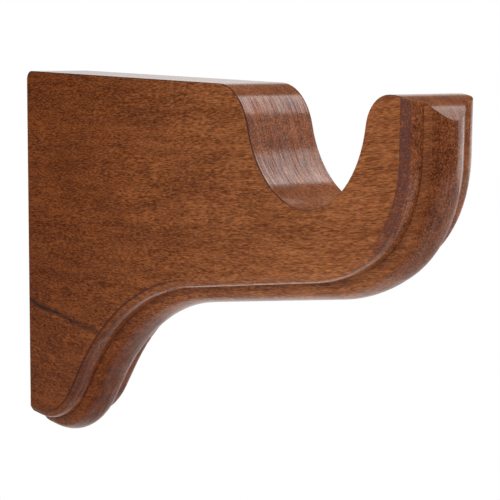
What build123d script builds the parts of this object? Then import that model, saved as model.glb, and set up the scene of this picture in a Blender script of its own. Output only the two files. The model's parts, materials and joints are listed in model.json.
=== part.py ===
from build123d import *
from math import atan2, cos, degrees, radians, sin, sqrt, tan
import os

# Wooden return bracket for a curtain pole: one piece, sawn from a board, routed along
# its front, underside and foot on both sides, and hung on two keyholes cut in its back.
# X runs out from the wall, Y across the board and Z up. The origin lies on the wall face,
# in the middle of the board and level with the axis of the pole.

# Board and pole
thickness = 20.0
pole_diameter = 50.0
pole_clearance = 0.4
pole_return = 155.8

# Arm above and below the pole
arm_top = 3.4
rollover_radius = 14.5
cradle_floor = 22.7
underside_slope = 9.2

# Horn in front of the pole
horn_top = 3.4
horn_width = 19.3
horn_lip_radius = 8.5
horn_land = 1.0
nose_corner_drop = 5.3

# Front, belly, cove and foot, with the short straights left between their curves
front_radius = 33.0
belly_slope = 30.0
belly_radius = 66.0
belly_land = 0.2
cove_land = 9.0
foot_depth = 112.5
foot_length = 24.0
foot_slope = 51.0
foot_radius = 38.5
back_corner_radius = 3.0

# Routed moulding, one half of its section: a steep bevel, rounded over on to a flat fillet,
# and half of a round nose
bevel_width = 1.4
bevel_height = 2.4
fillet_width = 3.3
shoulder_radius = 1.8
nose_height = 4.6

# Keyholes in the back, spread from the first entry, this far below the arm's top, to the
# last, this far above the foot: a round entry for the screw head and a narrower slot over it
keyhole_drop = 30.0
keyhole_rise = 21.9
keyhole_count = 2
screw_head_diameter = 9.0
screw_shank_diameter = 5.0
keyhole_travel = 12.0
keyhole_lip = 3.0
keyhole_depth = 9.0

# Making: the blank is cut this much oversize where it is routed, and its arrises are eased
waste = 1.0
overrun = 60.0
arris_radius = 0.4

cradle_radius = (pole_diameter + pole_clearance) / 2
half_thickness = thickness / 2
horn_front = pole_return + cradle_radius + horn_width
moulding_depth = bevel_height + nose_height
nose_half_width = half_thickness - bevel_width - fillet_width


# Lip of the horn, and what is left of its top for the rounded front corner
lip_drop = horn_lip_radius - horn_top
lip_run = sqrt((cradle_radius + horn_lip_radius)**2 - lip_drop**2)
nose_corner_run = cradle_radius + horn_width - lip_run - horn_land

# Belly: a straight long enough for the curves at its two ends
belly_turn = radians(belly_slope - underside_slope)
front_turn = radians(90 - belly_slope)
belly_length = front_radius * tan(front_turn / 2) + belly_radius * tan(belly_turn / 2) + belly_land
underside_rise = (horn_front - pole_return) * tan(radians(underside_slope))
belly_rise = belly_length * sin(belly_turn) / cos(radians(underside_slope))
belly_top = -cradle_radius - cradle_floor + underside_rise + belly_rise

# Cove: as wide a curve as the slope in front of the foot leaves room for
cove_turn = radians(foot_slope - underside_slope)
underside_fall = (pole_return - foot_length) * tan(radians(underside_slope))
foot_rise = foot_depth - cradle_radius - cradle_floor - underside_fall
foot_front_length = foot_rise * cos(radians(underside_slope)) / sin(cove_turn)
foot_curve_length = foot_radius * tan(radians(foot_slope) / 2)
cove_radius = (foot_front_length - foot_curve_length - cove_land) / tan(cove_turn / 2)

# The straights of the routed edge from the horn to the foot, each as its slope in degrees
# and a point that it passes through, with the radii that join each to the next
straights = [
    (90, (horn_front, horn_top)),
    (belly_slope, (horn_front, belly_top)),
    (underside_slope, (pole_return, -cradle_radius - cradle_floor)),
    (foot_slope, (foot_length, -foot_depth)),
    (0, (foot_length, -foot_depth)),
]


def routed_edge(offset):
    """Corners and radii of the edge that is routed, this far outside its finished line."""
    normals = [(sin(radians(slope)), -cos(radians(slope))) for slope, point in straights]
    distances = [
        normal_x * x + normal_z * z + offset
        for (normal_x, normal_z), (slope, (x, z)) in zip(normals, straights)
    ]
    corners = []
    for i in range(len(straights) - 1):
        (x1, z1), (x2, z2) = normals[i], normals[i + 1]
        spread = x1 * z2 - x2 * z1
        corners.append((
            (distances[i] * z2 - distances[i + 1] * z1) / spread,
            (distances[i + 1] * x1 - distances[i] * x2) / spread,
        ))
    corners.append((-overrun, -foot_depth - offset))
    radii = [front_radius + offset, belly_radius + offset, cove_radius - offset, foot_radius + offset]
    return corners, radii


with BuildPart() as bracket:
    # Blank: straight top, rolled over into the cradle, up and over the horn, and back
    # along the edge that is to be routed
    edge_corners, edge_radii = routed_edge(waste)
    roll_drop = rollover_radius - arm_top
    roll_run = sqrt((cradle_radius + rollover_radius)**2 - roll_drop**2)
    roll_turn = 90 - degrees(atan2(roll_drop, roll_run))
    lip_turn = 90 - degrees(atan2(lip_drop, lip_run))
    corner_turn = 2 * degrees(atan2(nose_corner_drop, nose_corner_run))
    corner_radius = nose_corner_run / sin(radians(corner_turn))
    with BuildSketch(Plane.XZ):
        with BuildLine():
            top = Line((-overrun, arm_top), (pole_return - roll_run, arm_top))
            roll = JernArc(top @ 1, top % 1, rollover_radius, -roll_turn)
            cradle = JernArc(roll @ 1, roll % 1, cradle_radius, roll_turn + lip_turn)
            lip = JernArc(cradle @ 1, cradle % 1, horn_lip_radius, -lip_turn)
            land = Line(lip @ 1, (horn_front - nose_corner_run, horn_top))
            corner = JernArc(land @ 1, land % 1, corner_radius, -corner_turn)
            over = PolarLine(corner @ 1, waste / cos(radians(corner_turn)), -corner_turn)
            FilletPolyline(over @ 1, *edge_corners, radius=edge_radii)
            Line(edge_corners[-1], top @ 0)
        make_face()
    extrude(amount=half_thickness, both=True)
    split(bisect_by=Plane.YZ, keep=Keep.TOP)
    fillet(bracket.edges().filter_by(Axis.Y).group_by(Axis.X)[0], back_corner_radius)
    fillet(bracket.faces().filter_by(Axis.Y).edges(), arris_radius)

    # Moulding: one symmetrical cutter that follows the edge from above the horn to behind
    # the wall face, where it leaves the nose in the middle of the board
    edge_corners, edge_radii = routed_edge(0)
    with BuildLine(Plane.XZ) as router_path:
        FilletPolyline((horn_front, overrun), *edge_corners, radius=edge_radii)
    section_plane = Plane(router_path.line @ 0, x_dir=(0, 1, 0), z_dir=router_path.line % 0)
    with BuildSketch(section_plane):
        with BuildLine():
            shoulder = FilletPolyline(
                (half_thickness, -moulding_depth),
                (half_thickness - bevel_width, -nose_height),
                (nose_half_width, -nose_height),
                radius=shoulder_radius,
            )
            nose = ThreePointArc(shoulder @ 1, (0, 0), (-nose_half_width, -nose_height))
            far_shoulder = FilletPolyline(
                nose @ 1,
                (bevel_width - half_thickness, -nose_height),
                (-half_thickness, -moulding_depth),
                radius=shoulder_radius,
            )
            Polyline(
                far_shoulder @ 1,
                (-half_thickness - waste, -moulding_depth),
                (-half_thickness - waste, 2 * waste),
                (half_thickness + waste, 2 * waste),
                (half_thickness + waste, -moulding_depth),
                shoulder @ 0,
            )
        make_face()
    sweep(path=router_path.line, mode=Mode.SUBTRACT)

    # Keyholes: the wide undercut lies behind a lip that only the screw's shank passes
    keyhole_spacing = (arm_top - keyhole_drop + foot_depth - keyhole_rise) / (keyhole_count - 1)
    keyhole_entries = [(0, arm_top - keyhole_drop - i * keyhole_spacing) for i in range(keyhole_count)]
    keyhole_middles = [(y, z + keyhole_travel / 2) for y, z in keyhole_entries]
    with BuildSketch(Plane.YZ):
        with Locations(*keyhole_entries):
            Circle(screw_head_diameter / 2)
        with Locations(*keyhole_middles):
            SlotCenterToCenter(keyhole_travel, screw_shank_diameter, rotation=90)
    extrude(amount=keyhole_depth, mode=Mode.SUBTRACT)
    with BuildSketch(Plane.YZ.offset(keyhole_lip)):
        with Locations(*keyhole_middles):
            SlotCenterToCenter(keyhole_travel, screw_head_diameter, rotation=90)
    extrude(amount=keyhole_depth - keyhole_lip, mode=Mode.SUBTRACT)

bracket.part.label = "bracket"
os.makedirs("parts", exist_ok=True)
export_step(bracket.part, "parts/bracket.step")
print("bracket: %.1f cm3, cradle wraps %.0f degrees" % (bracket.part.volume / 1000, roll_turn + lip_turn))
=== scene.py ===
"""A studio picture of a wooden return bracket, which holds a curtain pole out from a wall.

The bracket itself comes with the frame. This script gives it its wood: a straight-grained
hardwood under a brown stain and a satin lacquer, darker wherever the fibres are cut across,
with a dark vein, and with painted shade: dark lines on the arrises, round the cove and beside
the round nose, a darker round nose, horn corner and wood near the wall, and on the bevel a
purple-grey painted reflection over painted shade. Around it stand a pale floor, soft lamps
and the camera.
"""

import json
import logging
import math
from dataclasses import dataclass
from enum import Enum
from typing import Any, Mapping, Sequence, Union

import bpy
from mathutils import Matrix, Vector

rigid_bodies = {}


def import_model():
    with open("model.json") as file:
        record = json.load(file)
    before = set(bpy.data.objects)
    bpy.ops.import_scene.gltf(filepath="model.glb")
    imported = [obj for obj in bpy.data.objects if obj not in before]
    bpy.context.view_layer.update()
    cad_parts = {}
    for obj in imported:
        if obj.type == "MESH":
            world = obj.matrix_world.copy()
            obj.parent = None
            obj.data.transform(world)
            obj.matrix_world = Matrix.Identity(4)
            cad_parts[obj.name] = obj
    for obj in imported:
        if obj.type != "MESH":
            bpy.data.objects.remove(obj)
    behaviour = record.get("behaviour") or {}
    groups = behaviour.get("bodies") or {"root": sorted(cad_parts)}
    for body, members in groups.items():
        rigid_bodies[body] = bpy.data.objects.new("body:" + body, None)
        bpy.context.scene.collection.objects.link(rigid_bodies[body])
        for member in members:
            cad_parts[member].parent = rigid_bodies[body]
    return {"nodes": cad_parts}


log = logging.getLogger("return_bracket")

MM = 0.001

Colour = tuple[float, float, float, float]
Triple = tuple[float, float, float]
Edge = tuple[float, float]
Band = tuple[float, float, float, float]

WHITE: Colour = (1.0, 1.0, 1.0, 1.0)
ORIGIN: Triple = (0.0, 0.0, 0.0)


def srgb(red: float, green: float, blue: float) -> Colour:
    """Turns a colour written as on a paint card, 0 to 255, into the renderer's linear values.

    Args:
        red: red, 0 to 255.
        green: green, 0 to 255.
        blue: blue, 0 to 255.

    Returns:
        The linear red, green and blue, and an alpha of 1.
    """
    shares = [value / 255 for value in (red, green, blue)]
    linear = [s / 12.92 if s <= 0.04045 else ((s + 0.055) / 1.055) ** 2.4 for s in shares]
    return (linear[0], linear[1], linear[2], 1.0)


class Blend(Enum):
    """How one colour is laid over another."""

    MIX = "MIX"
    MULTIPLY = "MULTIPLY"


class Field:
    """A value that varies over a surface, held as one output socket of a shader."""

    def __init__(self, bench: "ShaderBench", socket: bpy.types.NodeSocket) -> None:
        """Keeps the socket and the bench that made it."""
        self.bench = bench
        self.socket = socket

    def _maths(self, operation: str, first: "Value", second: "Value" = 0.0) -> "Field":
        """Adds one Math node and returns its result."""
        node = self.bench.node("ShaderNodeMath", {"operation": operation}, {0: first, 1: second})
        return Field(self.bench, node.outputs[0])

    def __add__(self, other: "Value") -> "Field":
        """self + other."""
        return self._maths("ADD", self, other)

    def __radd__(self, other: "Value") -> "Field":
        """other + self."""
        return self._maths("ADD", other, self)

    def __sub__(self, other: "Value") -> "Field":
        """self - other."""
        return self._maths("SUBTRACT", self, other)

    def __rsub__(self, other: "Value") -> "Field":
        """other - self."""
        return self._maths("SUBTRACT", other, self)

    def __mul__(self, other: "Value") -> "Field":
        """self * other."""
        return self._maths("MULTIPLY", self, other)

    def __rmul__(self, other: "Value") -> "Field":
        """other * self."""
        return self._maths("MULTIPLY", other, self)

    def __abs__(self) -> "Field":
        """The size of self without its sign."""
        return self._maths("ABSOLUTE", self)

    def largest(self, other: "Value") -> "Field":
        """The larger of self and other."""
        return self._maths("MAXIMUM", self, other)

    def step(self, low: float, high: float) -> "Field":
        """A smooth step.

        Args:
            low: where the result is 0.
            high: where the result is 1. It may lie below low, which turns the step round.

        Returns:
            A value that goes smoothly from 0 at low to 1 at high, and stays there.
        """
        rising = low < high
        ends = {
            "Value": self,
            "From Min": min(low, high),
            "From Max": max(low, high),
            "To Min": 0.0 if rising else 1.0,
            "To Max": 1.0 if rising else 0.0,
        }
        node = self.bench.node("ShaderNodeMapRange", {"interpolation_type": "SMOOTHSTEP"}, ends)
        return Field(self.bench, node.outputs[0])

    def band(self, low: float, risen: float, falling: float, high: float) -> "Field":
        """0 up to low, smoothly to 1 at risen, 1 up to falling, and smoothly to 0 at high."""
        return self.step(low, risen) * self.step(high, falling)


Value = Union[Field, float, Sequence[float]]


class ShaderBench:
    """Builds the nodes of one material or of the world."""

    def __init__(self, owner: Union[bpy.types.Material, bpy.types.World]) -> None:
        """Clears the owner's nodes and makes its output.

        Args:
            owner: the material or the world.
        """
        owner.use_nodes = True
        self.tree = owner.node_tree
        self.tree.nodes.clear()
        kind = "World" if isinstance(owner, bpy.types.World) else "Material"
        self.output = self.node(f"ShaderNodeOutput{kind}")

    def node(
        self,
        kind: str,
        settings: Mapping[str, Any] = {},
        sockets: Mapping[Union[str, int], Value] = {},
    ) -> bpy.types.Node:
        """Adds a node of any type.

        Args:
            kind: the node's type.
            settings: its properties, which are set first.
            sockets: a value or a link for each of its input sockets.

        Returns:
            The new node.
        """
        node = self.tree.nodes.new(kind)
        for name, setting in settings.items():
            setattr(node, name, setting)
        for name, value in sockets.items():
            self._feed(node.inputs[name], value)
        return node

    def _feed(self, socket: bpy.types.NodeSocket, value: Value) -> None:
        """Links a field to a socket, or sets a value on it.

        Args:
            socket: the input socket.
            value: the field or the value.
        """
        if isinstance(value, Field):
            self.tree.links.new(value.socket, socket)
        else:
            socket.default_value = value

    def result(
        self,
        kind: str,
        output: str,
        settings: Mapping[str, Any] = {},
        sockets: Mapping[Union[str, int], Value] = {},
    ) -> Field:
        """Adds a node and returns one of its outputs as a field."""
        return Field(self, self.node(kind, settings, sockets).outputs[output])

    def vector(
        self, operation: str, first: Value, second: Value = ORIGIN, output: str = "Vector"
    ) -> Field:
        """Adds one Vector Math node and returns its result."""
        sockets = {0: first, 1: second}
        return self.result("ShaderNodeVectorMath", output, {"operation": operation}, sockets)

    def parts(self, vector: Field) -> tuple[Field, ...]:
        """Splits a vector into its X, Y and Z."""
        node = self.node("ShaderNodeSeparateXYZ", {}, {"Vector": vector})
        return tuple(Field(self, node.outputs[axis]) for axis in "XYZ")

    def blend(self, share: Value, under: Value, over: Value, how: Blend = Blend.MIX) -> Field:
        """Lays one colour over another.

        Args:
            share: how much of the upper colour shows, from 0 to 1.
            under: the lower colour.
            over: the upper colour.
            how: the way in which they blend.

        Returns:
            The blended colour.
        """
        settings = {"data_type": "RGBA", "blend_type": how.value, "clamp_factor": True}
        node = self.node("ShaderNodeMix", settings)
        wanted = {"Factor_Float": share, "A_Color": under, "B_Color": over}
        for socket in node.inputs:
            if socket.identifier in wanted:
                self._feed(socket, wanted[socket.identifier])
        return Field(self, next(s for s in node.outputs if s.identifier == "Result_Color"))

    def finish(self, shader: Field) -> None:
        """Joins the shader to the output."""
        self.tree.links.new(shader.socket, self.output.inputs["Surface"])


class Spot:
    """A place on the bracket, in millimetres, and the way that its surface faces."""

    def __init__(self, bench: ShaderBench) -> None:
        """Reads the place and the facing.

        Args:
            bench: the bench of the material.
        """
        metres = bench.result("ShaderNodeTexCoord", "Object")
        facing = bench.result("ShaderNodeTexCoord", "Normal")
        self.place = bench.vector("MULTIPLY", metres, (1 / MM, 1 / MM, 1 / MM))
        self.x, self.y, self.z = bench.parts(self.place)
        self.ahead, self.aside, self.upward = bench.parts(facing)
        self.off_middle = abs(self.y)
        self.sideways = abs(self.aside)


@dataclass(frozen=True)
class Speckle:
    """A random pattern, with its cells and its start in millimetres.

    detail is how many finer layers it has and roughness how strong they are. middle is its
    average, about which it swings at its strength.
    """

    cells: Triple
    start: Triple = ORIGIN
    detail: float = 2.0
    roughness: float = 0.5
    middle: float = 0.5
    strength: float = 1.0

    def values(self, bench: ShaderBench, place: Field) -> Field:
        """The pattern itself.

        Args:
            bench: the bench of the material.
            place: the place in millimetres.

        Returns:
            Smooth random values from 0 to 1, mostly near the middle.
        """
        if self.start != ORIGIN:
            place = bench.vector("ADD", place, self.start)
        counts = tuple(1 / cell for cell in self.cells)
        sockets = {
            "Vector": bench.vector("MULTIPLY", place, counts),
            "Scale": 1.0,
            "Detail": self.detail,
            "Roughness": self.roughness,
        }
        return bench.result("ShaderNodeTexNoise", "Fac", {}, sockets)

    def swing(self, bench: ShaderBench, place: Field) -> Field:
        """The pattern about zero, at its strength."""
        return self.strength * (self.values(bench, place) - self.middle)


@dataclass(frozen=True)
class Faces:
    """Which of the board's faces a spot is on, each from 0, elsewhere, to 1.

    end is where the fibres are cut across, flank is that on the steep bevel beside the broad
    faces, where the bevel's painted shade and painted reflection go, nose is the end grain of the
    round nose of the moulding where it does not face up, which gets painted shade, tip is the
    horn's rounded top corner, which gets painted shade and less lacquer, and thin is the bevel and
    the broad faces, where the lacquer is thin.
    """

    end: Field
    flank: Field
    nose: Field
    tip: Field
    thin: Field


@dataclass(frozen=True)
class BoardFaces:
    """Tells the board's faces apart by their place, in millimetres, and the way they face.

    Two numbers give where a mask is 0 and where it is 1, and four give a band that rises from
    the first to the second and falls from the third to the fourth.
    """

    bevel: float = 8.1
    nose: float = 5.3
    tip: float = 190.0
    blur: float = 0.3
    tip_fade: float = 4.0
    end_cut: Edge = (0.15, 0.75)
    flank_cut: Edge = (0.20, 0.50)
    flank_tilt: Band = (0.35, 0.65, 0.93, 0.985)
    thin_tilt: Edge = (0.50, 0.80)
    hanging: Edge = (0.15, 0.02)
    tip_front: Edge = (0.12, 0.30)
    tip_top: Edge = (0.15, 0.40)

    def masks(self, spot: Spot) -> Faces:
        """Finds the faces.

        Args:
            spot: the spot on the bracket.

        Returns:
            The masks of the faces.
        """
        across = abs(spot.ahead)
        end = across.step(*self.end_cut)
        on_bevel = spot.off_middle.step(self.bevel - self.blur, self.bevel + self.blur)
        # The steep bevel, where its painted shade and painted reflection go.
        torn = spot.sideways.band(*self.flank_tilt) * across.step(*self.flank_cut)
        on_nose = spot.off_middle.step(self.nose + self.blur, self.nose - self.blur)
        at_tip = spot.x.step(self.tip - self.tip_fade, self.tip)
        return Faces(
            end=end,
            flank=on_bevel * torn,
            nose=on_nose * end * spot.upward.step(*self.hanging),
            tip=at_tip * spot.ahead.step(*self.tip_front) * spot.upward.step(*self.tip_top),
            thin=spot.sideways.step(*self.thin_tilt),
        )


@dataclass(frozen=True)
class Vein:
    """A dark mineral streak that runs in from the wall along the grain; sizes in millimetres."""

    height: float = -70.6
    fall: float = 0.050
    half_width: float = 1.425
    start: float = -8.0
    start_fade: float = 10.0
    end: float = 57.0
    end_fade: float = 14.0
    ragged: Speckle = Speckle((9.0, 7.0, 9.0), strength=3.0)

    def mask(self, bench: ShaderBench, spot: Spot) -> Field:
        """Finds the vein.

        Args:
            bench: the bench of the material.
            spot: the spot on the bracket.

        Returns:
            1 along the middle of the vein and 0 away from it.
        """
        wave = self.ragged.swing(bench, spot.place)
        off = abs(spot.z - self.height + self.fall * spot.x + wave)
        begun = spot.x.step(self.start, self.start + self.start_fade)
        going_on = spot.x.step(self.end, self.end - self.end_fade)
        return off.step(self.half_width, 0.0) * going_on * begun


@dataclass(frozen=True)
class VeinAndShadeLines:
    """The vein, and thin dark lines of painted shade; sizes in millimetres.

    The arris line follows the eased edges of the broad faces, the brink line the top of the
    bevel round the cove, and the gutter line the foot of the round nose on both its sides.
    """

    arris: Edge = (9.55, 9.65)
    arris_tilt: Band = (0.05, 0.25, 0.74, 0.84)
    arris_share: float = 0.85
    brink: Edge = (9.55, 9.85)
    brink_tilt: Band = (0.80, 0.85, 0.89, 0.93)
    brink_reach: Edge = (115.0, 85.0)
    brink_share: float = 0.9
    gutter: Band = (4.5, 5.2, 5.4, 5.8)
    hanging: Edge = (0.15, 0.02)
    off_the_wall: Edge = (-0.5, -0.1)
    gutter_share: float = 0.28
    gutter_breaks: float = 0.9
    vein: Vein = Vein()
    vein_share: float = 0.85
    vein_breaks: float = 1.4
    breaks: Speckle = Speckle((7.0, 9.0, 1.5))

    def share(self, bench: ShaderBench, spot: Spot) -> Field:
        """Finds the lines.

        Args:
            bench: the bench of the material.
            spot: the spot on the bracket.

        Returns:
            How dark the lines make the wood, 0 beside them.
        """
        breaks = self.breaks.swing(bench, spot.place)
        # The arris, brink and gutter lines are painted shade along the edges and in the crease; the
        # vein is the wood's own.
        arris = spot.off_middle.step(*self.arris) * spot.sideways.band(*self.arris_tilt)
        brink = spot.off_middle.step(*self.brink) * spot.sideways.band(*self.brink_tilt)
        edges = arris + self.brink_share * brink * spot.x.step(*self.brink_reach)
        # Painted shade in the crease at the foot of the round nose, broken up.
        gutter = spot.off_middle.band(*self.gutter) * spot.upward.step(*self.hanging)
        gutter = gutter * spot.ahead.step(*self.off_the_wall)
        gutter = (self.gutter_share + self.gutter_breaks * breaks) * gutter
        vein = (self.vein_share + self.vein_breaks * breaks) * self.vein.mask(bench, spot)
        return (self.arris_share * edges).largest(gutter).largest(vein)


@dataclass(frozen=True)
class Grain:
    """The figure of a straight-grained hardwood; sizes in millimetres.

    The fibres rise and fan out away from the wall and wander a little. Broad clouds, long
    streaks, fine fibres and dark hair lines lie along them, and specks and blotches show where
    they are cut across. The fibres stand out less towards the horn.
    """

    rise: float = 0.03
    fan: float = 0.00030
    wander: Speckle = Speckle((45.0, 60.0, 18.0), detail=1.0)
    wander_across: float = 3.0
    wander_through: float = 2.0
    level: float = 0.5
    clouds: Speckle = Speckle((40.0, 12.0, 11.0), (130.0, 61.0, 13.0), strength=0.52)
    streaks: Speckle = Speckle((24.0, 3.0, 1.9), detail=3.0, roughness=0.65, strength=0.80)
    fibres: Speckle = Speckle(
        (1.9, 0.5, 0.23), (31.0, 7.0, 3.0), detail=1.0, roughness=0.6, strength=2.1
    )
    fibre_contrast: float = 1.12
    contrast_loss: float = 0.45
    loss_reach: Edge = (40.0, 190.0)
    hairs: Speckle = Speckle((9.0, 1.4, 0.55), (11.0, 23.0, 8.0), detail=1.5)
    hair_width: float = 0.07
    hair_average: float = 0.3
    hair_depth: float = 0.26
    end_calm: float = 0.75
    specks: Speckle = Speckle((0.45, 0.35, 0.45), (3.0, 9.0, 17.0), detail=1.5, strength=2.1)
    blotches: Speckle = Speckle(
        (5.0, 3.0, 5.0), detail=3.0, roughness=0.65, middle=0.52, strength=0.95
    )
    pore_cells: Speckle = Speckle((3.2, 0.42, 0.40), (5.0, 11.0, 2.0), detail=1.0)
    pore_bands: Speckle = Speckle((16.0, 5.0, 3.0), detail=1.0, strength=0.30)
    pore_edge: Edge = (0.60, 0.74)

    def along_fibres(self, bench: ShaderBench, spot: Spot) -> Field:
        """Measures the place by the fibres.

        Args:
            bench: the bench of the material.
            spot: the spot on the bracket.

        Returns:
            The place along the fibres, through the board and across the fibres.
        """
        wander = self.wander.swing(bench, spot.place)
        slope = self.rise + self.fan * spot.x
        sockets = {
            "X": spot.x,
            "Y": spot.y + self.wander_through * wander,
            "Z": spot.z - spot.x * slope + self.wander_across * wander,
        }
        return bench.result("ShaderNodeCombineXYZ", "Vector", {}, sockets)

    def tone(self, bench: ShaderBench, spot: Spot, fibre_place: Field, end: Field) -> Field:
        """The light and dark of the wood.

        Args:
            bench: the bench of the material.
            spot: the spot on the bracket.
            fibre_place: the place by the fibres.
            end: how far the surface cuts across the fibres.

        Returns:
            A value near 0.5, lower where the wood is darker.
        """
        broad = self.clouds.swing(bench, fibre_place) + self.streaks.swing(bench, fibre_place)
        along = 1.0 - self.end_calm * end
        contrast = self.fibre_contrast - self.contrast_loss * spot.x.step(*self.loss_reach)
        fine = self.fibres.swing(bench, fibre_place) * along * contrast
        cut = self.specks.swing(bench, spot.place) + self.blotches.swing(bench, spot.place)
        hair = abs(self.hairs.swing(bench, fibre_place)).step(self.hair_width, 0.0)
        dark = self.hair_depth * (hair - self.hair_average) * along
        return self.level + broad + fine + cut * end - dark

    def pores(self, bench: ShaderBench, fibre_place: Field) -> Field:
        """The open pores, which are dashes along the fibres and dots across them."""
        bands = self.pore_bands.swing(bench, fibre_place)
        return (self.pore_cells.values(bench, fibre_place) + bands).step(*self.pore_edge)


@dataclass(frozen=True)
class StainedWood:
    """Straight-grained hardwood with a brown stain and a satin lacquer; sizes in millimetres.

    deep, middle and bright are its colours from dark grain to light, and the pore colour is that
    of the pores, the vein and the dark lines of painted shade. The bevel's colour is a purple-grey
    painted reflection over painted shade, mottled by its torn fibres. The tints darken the cut
    fibres, which is the wood's own, and lay painted shade on the round nose, the horn's corner
    and, a little warmer, the wood near the wall. The heights and the depth are those of its
    relief, and thirst is the share of the lacquer that the wood drinks.
    """

    slot: str = "stained_wood"
    grain: Grain = Grain()
    board: BoardFaces = BoardFaces()
    lines: VeinAndShadeLines = VeinAndShadeLines()

    deep: Colour = srgb(80, 40, 19)
    middle: Colour = srgb(120, 70, 40)
    bright: Colour = srgb(160, 101, 61)
    pore_and_shade: Colour = srgb(52, 29, 26)
    bevel_shade_and_sheen: Colour = srgb(70, 44, 42)
    end_tint: Colour = srgb(201, 188, 180)
    nose_shade_tint: Colour = srgb(224, 219, 216)
    tip_shade_tint: Colour = srgb(222, 210, 190)
    wall_shade_tint: Colour = srgb(231, 203, 168)
    wall_shade_reach: Edge = (165.0, 0.0)
    pore_share: float = 0.38
    bevel_shade_and_sheen_share: float = 0.64
    torn: Speckle = Speckle((0.5, 0.45, 0.5), roughness=0.7, strength=3.8)

    sanding: Speckle = Speckle((9.0, 0.40, 9.0), detail=3.0, roughness=0.65)
    scratch_height: float = 0.060
    fibre_height: float = 0.030
    pore_depth: float = 0.020
    roughness: float = 0.42
    end_roughness: float = 0.10
    pore_roughness: float = 0.10
    scratch_roughness: float = 0.20
    refraction: float = 1.5
    specular: float = 0.02

    lacquer: float = 0.80
    thin_lacquer: float = 0.05
    end_thirst: float = 0.50
    tip_thirst: float = 0.25
    scratch_lacquer: float = 4.5
    lacquer_roughness: float = 0.15

    def material(self) -> bpy.types.Material:
        """Builds the wood.

        Returns:
            The new material.
        """
        material = bpy.data.materials.new(self.slot)
        bench = ShaderBench(material)
        spot = Spot(bench)
        faces = self.board.masks(spot)
        fibre_place = self.grain.along_fibres(bench, spot)
        tone = self.grain.tone(bench, spot, fibre_place, faces.end)
        pores = self.grain.pores(bench, fibre_place)
        scratches = self.sanding.swing(bench, spot.place)
        stained = self._stained(bench, spot, tone, pores, faces)
        worn = self.end_roughness * faces.end + self.pore_roughness * pores
        height = self.fibre_height * (tone - self.grain.level) - self.pore_depth * pores
        height = self.scratch_height * scratches * faces.end + height
        relief = {"Strength": 1.0, "Distance": MM, "Height": height}
        sockets = {
            # The dark lines lay painted shade, and the dark vein, over the wood.
            "Base Color": bench.blend(self.lines.share(bench, spot), stained, self.pore_and_shade),
            "Roughness": self.roughness + worn + self.scratch_roughness * scratches,
            "Normal": bench.result("ShaderNodeBump", "Normal", {}, relief),
            "IOR": self.refraction,
            "Specular IOR Level": self.specular,
            "Coat Weight": self._lacquer(faces, scratches),
            "Coat Roughness": self.lacquer_roughness,
        }
        bench.finish(bench.result("ShaderNodeBsdfPrincipled", "BSDF", {}, sockets))
        return material

    def _stained(
        self, bench: ShaderBench, spot: Spot, tone: Field, pores: Field, faces: Faces
    ) -> Field:
        """Stains the wood and lays painted shade on the round nose, the horn's corner, the wood near
        the wall and the bevel, with a painted reflection on the bevel.

        Args:
            bench: the bench of the material.
            spot: the spot on the bracket.
            tone: the light and dark of the wood.
            pores: the open pores.
            faces: which of the board's faces this is.

        Returns:
            The wood's colour without its dark lines.
        """
        # The lower half of the tone runs from deep to middle, the upper half on to bright.
        wood = bench.blend(2.0 * tone, self.deep, self.middle)
        wood = bench.blend(2.0 * tone - 1.0, wood, self.bright)
        wood = bench.blend(self.pore_share * pores, wood, self.pore_and_shade)
        wood = bench.blend(faces.end, wood, self.end_tint, Blend.MULTIPLY)
        # Painted shade on the round nose.
        wood = bench.blend(faces.nose, wood, self.nose_shade_tint, Blend.MULTIPLY)
        # Painted shade on the horn's top corner.
        wood = bench.blend(faces.tip, wood, self.tip_shade_tint, Blend.MULTIPLY)
        # Painted shade, a little warmer, towards the wall.
        wall_shade = spot.x.step(*self.wall_shade_reach)
        wood = bench.blend(wall_shade, wood, self.wall_shade_tint, Blend.MULTIPLY)
        # On the bevel, a purple-grey painted reflection over painted shade, mottled by the torn
        # fibres.
        torn = self.bevel_shade_and_sheen_share + self.torn.swing(bench, spot.place)
        return bench.blend(faces.flank * torn, wood, self.bevel_shade_and_sheen)

    def _lacquer(self, faces: Faces, scratches: Field) -> Field:
        """Lays the lacquer, of which end grain drinks up some.

        Args:
            faces: which of the board's faces this is.
            scratches: the scratches that run round the profile.

        Returns:
            How thick the lacquer is, from 0 to 1.
        """
        left = (1.0 - self.end_thirst * faces.end) * (1.0 - self.tip_thirst * faces.tip)
        coat = self.lacquer * left * (1.0 + self.scratch_lacquer * scratches * faces.end)
        return coat + (self.thin_lacquer - coat) * faces.thin


@dataclass
class Bracket:
    """The bracket, one piece of wood, as it comes with the frame."""

    node: str = "bracket"
    finish: StainedWood = StainedWood()

    def build(self, nodes: Mapping[str, bpy.types.Object]) -> None:
        """Gives the bracket its finish.

        Args:
            nodes: the pieces of the frame by name.
        """
        piece = nodes[self.node]
        material = self.finish.material()
        for holder in piece.material_slots:
            holder.material = material
        log.info("bracket: %s on %d slot", self.finish.slot, len(piece.material_slots))


@dataclass(frozen=True)
class Softbox:
    """A square lamp with a diffuser, in metres and watts.

    shines is whether it shows in reflections, and lights whether it lights matt surfaces.
    """

    name: str
    place: Triple
    target: Triple
    side: float
    power: float
    shines: bool = True
    lights: bool = True

    def build(self) -> None:
        """Hangs the lamp, turned to its target."""
        lamp = bpy.data.lights.new(self.name, "AREA")
        lamp.shape = "SQUARE"
        lamp.size = self.side
        lamp.energy = self.power
        holder = bpy.data.objects.new(self.name, lamp)
        holder.visible_camera = False
        holder.visible_glossy = self.shines
        holder.visible_diffuse = self.lights
        bpy.context.scene.collection.objects.link(holder)
        aim = Vector(self.target) - Vector(self.place)
        turn = aim.to_track_quat("-Z", "Y").to_matrix().to_4x4()
        holder.matrix_world = Matrix.Translation(self.place) @ turn
        log.info("lamp %s: %.1f W", self.name, self.power)


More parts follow.
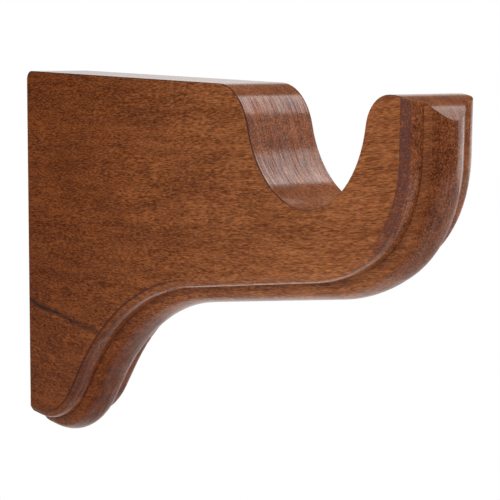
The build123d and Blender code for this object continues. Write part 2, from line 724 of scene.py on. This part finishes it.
@dataclass(frozen=True)
class Viewpoint:
    """The camera: its aim and distance in metres, its turns in degrees, its lens in millimetres."""

    target: Triple = (0.1334, -0.0100, -0.0377)
    distance: float = 0.3958
    azimuth: float = 57.54
    elevation: float = 8.04
    roll: float = 0.48
    lens: float = 113.5
    film: float = 36.0
    nearest: float = 0.01

    def build(self) -> None:
        """Places the camera and makes it the scene's."""
        turn = math.radians(self.azimuth)
        lift = math.radians(self.elevation)
        flat = math.cos(lift)
        back = Vector((math.sin(turn) * flat, -math.cos(turn) * flat, math.sin(lift)))
        level = Vector((math.cos(turn), math.sin(turn), 0.0))
        upright = back.cross(level)
        tilt = math.radians(self.roll)
        right = level * math.cos(tilt) + upright * math.sin(tilt)
        up = upright * math.cos(tilt) - level * math.sin(tilt)
        data = bpy.data.cameras.new("camera")
        data.sensor_width = self.film
        data.lens = self.lens
        data.clip_start = self.nearest
        camera = bpy.data.objects.new("camera", data)
        bpy.context.scene.collection.objects.link(camera)
        rotation = Matrix((right, up, back)).transposed().to_4x4()
        place = Vector(self.target) + back * self.distance
        camera.matrix_world = Matrix.Translation(place) @ rotation
        bpy.context.scene.camera = camera
        log.info("camera: %.1f mm lens at %.3f m", self.lens, self.distance)


@dataclass
class Studio:
    """The pale floor, the white surroundings and the lamps, in metres.

    The floor keeps its own colour as far as shadow_reach, turns white up to white_reach, and
    has one corner for each of floor_corners. backdrop is the way to the side of the set that
    reflects as white, with backdrop_edge the cosines where that starts and is full. ambient is
    how strongly the surroundings light the bracket, and room how light they reflect elsewhere.
    """

    middle: tuple[float, float] = (0.10, 0.0)
    floor_height: float = -0.235
    floor_side: float = 8.0
    floor_corners: int = 96
    floor_colour: Colour = srgb(244, 244, 243)
    shadow_reach: float = 0.16
    white_reach: float = 0.34
    backdrop: Triple = (-0.79, 0.61, 0.0)
    backdrop_edge: Edge = (0.90, 0.98)
    ambient: float = 0.20
    room: float = 0.15
    white: float = 1.0
    lamps: tuple[Softbox, ...] = (
        Softbox("key", (0.29, -0.275, 0.055), (0.16, 0.0, -0.04), 0.30, 1.08, shines=False),
        Softbox("top", (0.25, 0.10, 0.90), (0.12, 0.0, -0.04), 0.60, 5.2, shines=False),
        Softbox("sheen", (0.27, 0.53, 0.83), (0.15, 0.0, -0.01), 0.66, 7.4, lights=False),
        Softbox("glow", (0.52, 0.53, 0.77), (0.15, 0.0, -0.01), 1.25, 7.9, lights=False),
        Softbox("rim", (0.33, 0.90, -0.05), (0.19, 0.0, -0.03), 1.00, 12.0),
        Softbox("front", (0.75, 0.25, 0.05), (0.19, 0.0, -0.03), 0.50, 3.6, shines=False),
    )

    def build(self) -> None:
        """Builds the floor, the world and the lamps."""
        self._floor()
        self._world()
        for lamp in self.lamps:
            lamp.build()

    def _seen(self, bench: ShaderBench, way: Field) -> Field:
        """Where the white background shows.

        Args:
            bench: the bench of the floor or of the world.
            way: the way out from the middle of the set.

        Returns:
            1 for a look straight at it or through something, and for a reflection of the
            backdrop, which stands on one side of the set.
        """
        path = bench.node("ShaderNodeLightPath")
        names = ("Is Camera Ray", "Is Glossy Ray", "Is Transmission Ray")
        camera, glossy, through = (Field(bench, path.outputs[name]) for name in names)
        towards = bench.vector("DOT_PRODUCT", way, self.backdrop, output="Value")
        reflected = glossy * towards.step(*self.backdrop_edge)
        return camera.largest(reflected).largest(through)

    def _floor(self) -> None:
        """Lays the floor, which keeps the bracket's shadow and turns white further out."""
        middle_x, middle_y = self.middle
        bpy.ops.mesh.primitive_circle_add(
            vertices=self.floor_corners,
            radius=self.floor_side / 2,
            fill_type="NGON",
            location=(middle_x, middle_y, self.floor_height),
        )
        floor = bpy.context.active_object
        floor.name = "floor"
        bpy.ops.object.transform_apply(location=True, rotation=True, scale=True)
        material = bpy.data.materials.new("pale_floor")
        bench = ShaderBench(material)
        place = bench.result("ShaderNodeTexCoord", "Object")
        out = bench.vector("ADD", place, (-middle_x, -middle_y, -self.floor_height))
        far = bench.vector("LENGTH", out, output="Value")
        way = bench.vector("NORMALIZE", out)
        white = far.step(self.shadow_reach, self.white_reach) * self._seen(bench, way)
        matt = bench.result("ShaderNodeBsdfDiffuse", "BSDF", {}, {"Color": self.floor_colour})
        glow = bench.result("ShaderNodeEmission", "Emission", {}, {"Color": WHITE})
        sockets = {0: white, 1: matt, 2: glow}
        bench.finish(bench.result("ShaderNodeMixShader", "Shader", {}, sockets))
        floor.data.materials.append(material)
        log.info("floor: %.1f m across", self.floor_side)

    def _world(self) -> None:
        """Makes the surroundings white to look at, dimmer as a light, and a dark room to reflect."""
        world = bpy.data.worlds.new("surroundings")
        bpy.context.scene.world = world
        bench = ShaderBench(world)
        levels = (self.ambient, self.room, self.white)
        light, room, white = (self._background(bench, level) for level in levels)
        glossy = bench.result("ShaderNodeLightPath", "Is Glossy Ray")
        unseen = bench.result("ShaderNodeMixShader", "Shader", {}, {0: glossy, 1: light, 2: room})
        seen = self._seen(bench, bench.result("ShaderNodeTexCoord", "Generated"))
        sockets = {0: seen, 1: unseen, 2: white}
        bench.finish(bench.result("ShaderNodeMixShader", "Shader", {}, sockets))

    def _background(self, bench: ShaderBench, level: float) -> Field:
        """A plain white background of this strength."""
        sockets = {"Color": WHITE, "Strength": level}
        return bench.result("ShaderNodeBackground", "Background", {}, sockets)


def clear_scene() -> None:
    """Removes what a new file holds."""
    for thing in list(bpy.data.objects):
        bpy.data.objects.remove(thing)


def main() -> None:
    """Builds the picture piece by piece."""
    logging.basicConfig(level=logging.INFO, format="%(name)s: %(message)s")
    clear_scene()
    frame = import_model()
    bpy.ops.object.select_all(action="DESELECT")
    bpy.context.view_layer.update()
    Bracket().build(frame["nodes"])
    Studio().build()
    Viewpoint().build()
    bpy.context.scene.view_settings.view_transform = "Standard"


if __name__ == "__main__":
    main()
